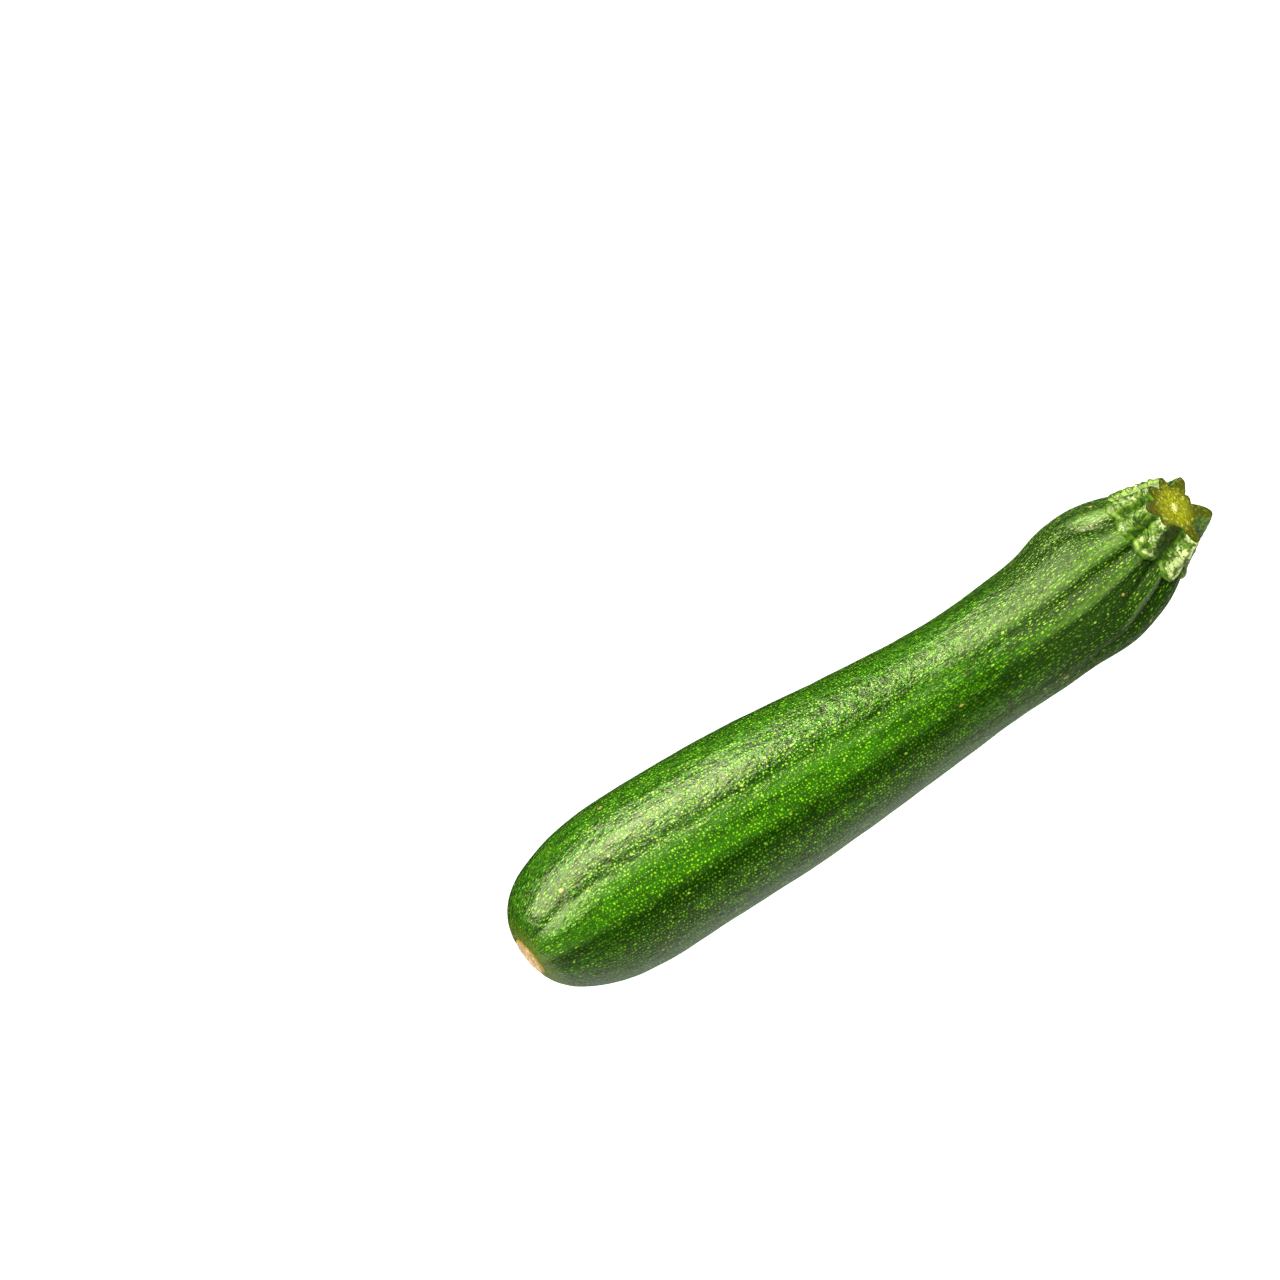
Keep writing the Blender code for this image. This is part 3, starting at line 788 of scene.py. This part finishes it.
green = tint(skin, orange_edge, green, ORANGE_EDGE)
cork = tint(skin, fade(skin, cloud(skin, place, 2.2, 4.0), 0.4, 0.6), PALE_CORK, BROWN_CORK)
is_scar = calc(skin, "MULTIPLY", fade(skin, ragged, 5.3, 4.7), at_tip)
green = tint(skin, is_scar, green, cork)
flecks = scatter(skin, along_skin, around, 17.0, 8, (0.035, 0.03), 0.45, 5.0)
green = tint(skin, flecks, green, FLECK)
skin.node_tree.links.new(green, shader.inputs["Base Color"])

# %% [markdown]
# How the skin shines matters as much as its colour. A thin wax reflects weakly, so the index of refraction is
# low, and the roughness wanders, so the highlight is clear in some places and cloudy in others. The wax is a
# little duller from the neck on, and dull on the shoulder except on its upper flank. A bump with pits and
# finer grain breaks the highlight up into the leathery pattern of the real skin.

# %% Wax and grain
SKIN_IOR, WAX_TINT, CORK_ROUGHNESS = 1.27, (1.0, 0.86, 0.60, 1), 0.8
PIT_HEIGHT, GRAIN_HEIGHT, SPECK_HEIGHT = 0.27, 0.10, 0.015
shader.inputs["IOR"].default_value = SKIN_IOR
shader.inputs["Specular Tint"].default_value = WAX_TINT
roughness = fade(skin, cloud(skin, stretch(skin, place, (0.4, 1.0, 1.0)), 0.8, 3.0), 0.3, 0.7, 0.17, 0.30)
roughness = calc(skin, "ADD", roughness, fade(skin, station, 104.0, 126.0, 0.0, 0.10))
off_flank = calc(skin, "SUBTRACT", 1.0, band(skin, around, 56, 44))
dull = calc(skin, "MULTIPLY", calc(skin, "MULTIPLY", shade, off_flank), 0.45)
roughness = calc(skin, "ADD", roughness, dull)
choice = {0: is_scar, 2: roughness, 3: CORK_ROUGHNESS}
roughness = add(skin, "ShaderNodeMix", {"data_type": "FLOAT"}, choice).outputs[0]
skin.node_tree.links.new(roughness, shader.inputs["Roughness"])
pits = cloud(skin, stretch(skin, place, (0.6, 1.0, 1.0)), 0.80, 3.0)
fine = cloud(skin, stretch(skin, place, (0.6, 1.0, 1.0)), 2.2, 2.0)
height = calc(skin, "MULTIPLY", pits, PIT_HEIGHT)
for layer, most in ((fine, GRAIN_HEIGHT), (all_specks, SPECK_HEIGHT)):
    height = calc(skin, "ADD", height, calc(skin, "MULTIPLY", layer, most))
bump = add(skin, "ShaderNodeBump", {}, {"Height": height, "Distance": MM, "Strength": 1.0})
skin.node_tree.links.new(bump.outputs[0], shader.inputs["Normal"])
fruit_skin.data.materials.append(skin)

# %% [markdown]
# ### The stub's two finishes
#
# The rind of the stub is mid green. Pale green wax lies on the crests of its lobes and on the tops of its
# warts, and it also paints their highlight. Painted shade fills the hollows and creases between them. The
# relief of the mesh says where these are, so the colours always fit the form. The cut is moist, yellow-olive
# tissue with pale fibres that run out from a white pith, and it darkens towards the rim.

# %% Rind of the stub
RIND_DARK, RIND_LIGHT = (0.018, 0.066, 0.001, 1), (0.100, 0.190, 0.006, 1)
RIND_WAX_AND_SHEEN, RIND_HOLLOW_SHADE = (0.430, 0.500, 0.215, 1), (0.010, 0.026, 0.0008, 1)
RIND_IOR, RIND_ROUGHNESS = 1.35, 0.50
rind, shader = new_finish("stem_rind")
coordinates = add(rind, "ShaderNodeTexCoord", {}, {}).outputs["Object"]
wart_height = kept(rind, "wart").outputs["Fac"]
hollow_share = kept(rind, "valley").outputs["Fac"]
creased = kept(rind, "crease").outputs["Fac"]
lobe_wax_and_sheen = kept(rind, "lobe_wax_and_sheen").outputs["Fac"]
patch = cloud(rind, coordinates, 700.0, 3.0)
blotch = cloud(rind, coordinates, 420.0, 4.0)
grain = cloud(rind, coordinates, 2200.0, 2.0)
rind_green = tint(rind, fade(rind, patch, 0.36, 0.66), RIND_DARK, RIND_LIGHT)
# Pale colour on the lobe crests and wart tops: partly wax, partly painted highlight.
pale = calc(rind, "MULTIPLY", lobe_wax_and_sheen, fade(rind, blotch, 0.38, 0.64, 0.20, 1.0))
pale = calc(rind, "ADD", pale, fade(rind, wart_height, 0.10, 0.45, 0.0, 0.25))
pale = calc(rind, "MULTIPLY", pale, fade(rind, grain, 0.30, 0.62, 0.35, 1.1))
rind_green = tint(rind, fade(rind, pale, 0.18, 0.90, 0.0, 0.95), rind_green, RIND_WAX_AND_SHEEN)
# Painted shade in the hollows between the lobes and in the creases.
hollow_shade = fade(rind, hollow_share, 0.55, 0.95, 0.0, 0.92)
deep = calc(rind, "MAXIMUM", hollow_shade, calc(rind, "MULTIPLY", creased, 0.75))
rind_green = tint(rind, deep, rind_green, RIND_HOLLOW_SHADE)
rind.node_tree.links.new(rind_green, shader.inputs["Base Color"])
shader.inputs["IOR"].default_value = RIND_IOR
shader.inputs["Specular Tint"].default_value = WAX_TINT
shader.inputs["Roughness"].default_value = RIND_ROUGHNESS
height = calc(rind, "ADD", calc(rind, "MULTIPLY", patch, 0.35), calc(rind, "MULTIPLY", grain, 0.10))
bump = add(rind, "ShaderNodeBump", {}, {"Height": height, "Distance": MM, "Strength": 1.0})
rind.node_tree.links.new(bump.outputs[0], shader.inputs["Normal"])

# %% Cut tissue
PITH_SIDE, RIM_SIDE, STAIN = (0.225, 0.240, 0.004, 1), (0.066, 0.080, 0.001, 1), (0.110, 0.085, 0.006, 1)
FIBRE, PITH_WHITE, RIM_DARK = (0.36, 0.38, 0.060, 1), (0.52, 0.54, 0.20, 1), (0.026, 0.042, 0.002, 1)
TISSUE_IOR, TISSUE_ROUGHNESS = 1.22, 0.34
cut, shader = new_finish("stem_cut")
coordinates = add(cut, "ShaderNodeTexCoord", {}, {}).outputs["Object"]
distance = kept(cut, "from_pith").outputs["Fac"]
to_rim = kept(cut, "rim_gap").outputs["Fac"]
fibres = cloud(cut, coordinates, 1300.0, 3.0)
stain = cloud(cut, coordinates, 600.0, 3.0)
tissue = tint(cut, fade(cut, distance, 2.6, 7.0), PITH_SIDE, RIM_SIDE)
tissue = tint(cut, fade(cut, stain, 0.50, 0.68, 0.0, 0.6), tissue, STAIN)
fibre_share = calc(cut, "MULTIPLY", fade(cut, fibres, 0.53, 0.66), fade(cut, distance, 7.5, 3.5, 0.30, 0.9))
tissue = tint(cut, fibre_share, tissue, FIBRE)
tissue = tint(cut, fade(cut, distance, 1.4, 0.6), tissue, PITH_WHITE)
tissue = tint(cut, fade(cut, to_rim, 0.6, 0.12, 0.0, 0.8), tissue, RIM_DARK)
cut.node_tree.links.new(tissue, shader.inputs["Base Color"])
shader.inputs["IOR"].default_value = TISSUE_IOR
shader.inputs["Roughness"].default_value = TISSUE_ROUGHNESS
bump = add(cut, "ShaderNodeBump", {}, {"Height": fibres, "Distance": 0.35 * MM, "Strength": 1.0})
cut.node_tree.links.new(bump.outputs[0], shader.inputs["Normal"])

# %% [markdown]
# Both finishes lie on one mesh. Its faces are made in a known order, from foot to pith, so the faces of the
# cut are simply the last ones.

# %% Rind on the flanks, cut tissue on the cut
stem_stub.data.materials.append(rind)
stem_stub.data.materials.append(cut)
first_cut_face = (foot_n + flank_n) * STEM_SIDES
which = np.zeros(len(stem_stub.data.polygons), np.int32)
quads = (count - 1) * STEM_SIDES
which[first_cut_face:quads] = 1
which[quads + STEM_SIDES:] = 1
stem_stub.data.polygons.foreach_set("material_index", which)
print("faces of the cut:", int(which.sum()))

# %% [markdown]
# ## Floor, light and camera
#
# The fruit lies on a plain white table and is seen from straight above through a long lens, which shows it
# with hardly any perspective. The camera is turned, so that the fruit lies at the photograph's angle.

# %% The table
# It glows, so it shows plain white, and it glows more on the side away from the softboxes.
bpy.ops.mesh.primitive_plane_add(size=4.0, location=(0, 0, -0.0001))
table = bpy.context.object
table.name = "table"
white, shader = new_finish("white_table")
shader.inputs["Base Color"].default_value = (0.16, 0.16, 0.16, 1)
shader.inputs["Roughness"].default_value = 0.9
shader.inputs["Emission Color"].default_value = (1, 1, 1, 1)
where = add(white, "ShaderNodeTexCoord", {}, {}).outputs["Object"]
across = add(white, "ShaderNodeSeparateXYZ", {}, {0: where}).outputs[1]
white.node_tree.links.new(fade(white, across, -0.03, 0.05, 1.15, 0.55), shader.inputs["Emission Strength"])
table.data.materials.append(white)
table.visible_glossy = False

# %% The camera, straight above the middle of the picture
PIXEL, PICTURE_PIXELS = 0.2309 * MM, 1280
PICTURE_MIDDLE, FRUIT_HEIGHT = (-0.0322, 0.0457), 0.019
PHOTO_TURN = math.radians(33)
LENS_HEIGHT, SENSOR_WIDTH = 1.4, 36
camera = bpy.data.objects.new("camera", bpy.data.cameras.new("camera"))
bpy.context.scene.collection.objects.link(camera)
camera.location = (*PICTURE_MIDDLE, LENS_HEIGHT + FRUIT_HEIGHT)
camera.rotation_euler = (0, 0, -PHOTO_TURN)
camera.data.sensor_width = SENSOR_WIDTH
camera.data.lens = SENSOR_WIDTH * LENS_HEIGHT / (PICTURE_PIXELS * PIXEL)
camera.data.clip_start, camera.data.clip_end = 0.05, 20
bpy.context.scene.camera = camera
print("lens:", round(camera.data.lens, 1), "mm")

# %% [markdown]
# Light that shapes a form and light that makes a highlight can be set apart. Two low softboxes on the
# picture's upper-left side are seen only in reflections: the first makes the long highlight, and the second
# carries it round the blossom end. A third one, higher up, gives the soft light and stays out of reflections.
# A single lamp could do both, but then its highlight couldn't be moved without moving the shadows.

# %% Three softboxes
AIM = (0, 0, 0.02)


def softbox(name, place, aim, wide, tall, brightness):
    """A rectangular lamp. brightness is what a mirror would show of it, on the picture's own scale."""
    lamp = bpy.data.lights.new(name, "AREA")
    lamp.shape = "RECTANGLE"
    lamp.size, lamp.size_y = wide, tall
    lamp.energy = brightness * math.pi * wide * tall
    holder = bpy.data.objects.new(name, lamp)
    holder.location = place
    holder.rotation_euler = (Vector(aim) - Vector(place)).to_track_quat("-Z", "Y").to_euler()
    bpy.context.scene.collection.objects.link(holder)
    return holder


highlight_box = softbox("highlight_softbox", (0.017, 0.98, 0.52), AIM, 0.46, 0.90, 33.0)
highlight_box.visible_diffuse = False
end_box = softbox("blossom_end_softbox", (-0.675, 0.711, 0.52), AIM, 1.20, 0.90, 22.0)
end_box.visible_diffuse = False
overhead_box = softbox("overhead_softbox", (-0.05, 0.60, 1.15), AIM, 0.9, 0.9, 17.0)
overhead_box.visible_glossy = False

# %% [markdown]
# The room is dark overhead, so that the top of the fruit keeps its deep green. From the horizon down it glows
# on the side away from the softboxes, and that glow gives the lower flank its dusty sheen. The softboxes'
# side stays dark, and the table is kept out of mirror rays, so the upper edge of the fruit keeps its clean
# green.

# %% The room
LEAST_GLOW = 0.03
room = bpy.data.worlds.new("room")
room.use_nodes = True
nodes, links = room.node_tree.nodes, room.node_tree.links


def room_node(kind, inputs, operation=None):
    made = nodes.new(kind)
    if operation:
        made.operation = operation
    for socket, value in inputs.items():
        if isinstance(value, bpy.types.NodeSocket):
            links.new(value, made.inputs[socket])
        else:
            made.inputs[socket].default_value = value
    return made.outputs[0]


split = nodes.new("ShaderNodeSeparateXYZ")
links.new(nodes.new("ShaderNodeTexCoord").outputs["Generated"], split.inputs[0])
glow = room_node("ShaderNodeMapRange", {
    "Value": split.outputs[2], "From Min": 0.68, "From Max": 0.22, "To Max": 1.0,
})
below = room_node("ShaderNodeMapRange", {
    "Value": split.outputs[2], "From Min": -0.55, "From Max": -0.95, "To Min": 1.0, "To Max": 0.25,
})
far_side = room_node("ShaderNodeMapRange", {
    "Value": split.outputs[1], "From Min": 0.05, "From Max": -0.4, "To Min": 0.03, "To Max": 1.8,
})
glow = room_node("ShaderNodeMath", {0: glow, 1: below}, "MULTIPLY")
glow = room_node("ShaderNodeMath", {0: glow, 1: far_side}, "MULTIPLY")
strength = room_node("ShaderNodeMath", {0: glow, 1: LEAST_GLOW}, "ADD")
links.new(strength, nodes["Background"].inputs["Strength"])
nodes["Background"].inputs["Color"].default_value = (1, 1, 1, 1)
bpy.context.scene.world = room
look = bpy.context.scene.view_settings
look.view_transform = "Standard"
look.exposure, look.gamma = 0.25, 0.85
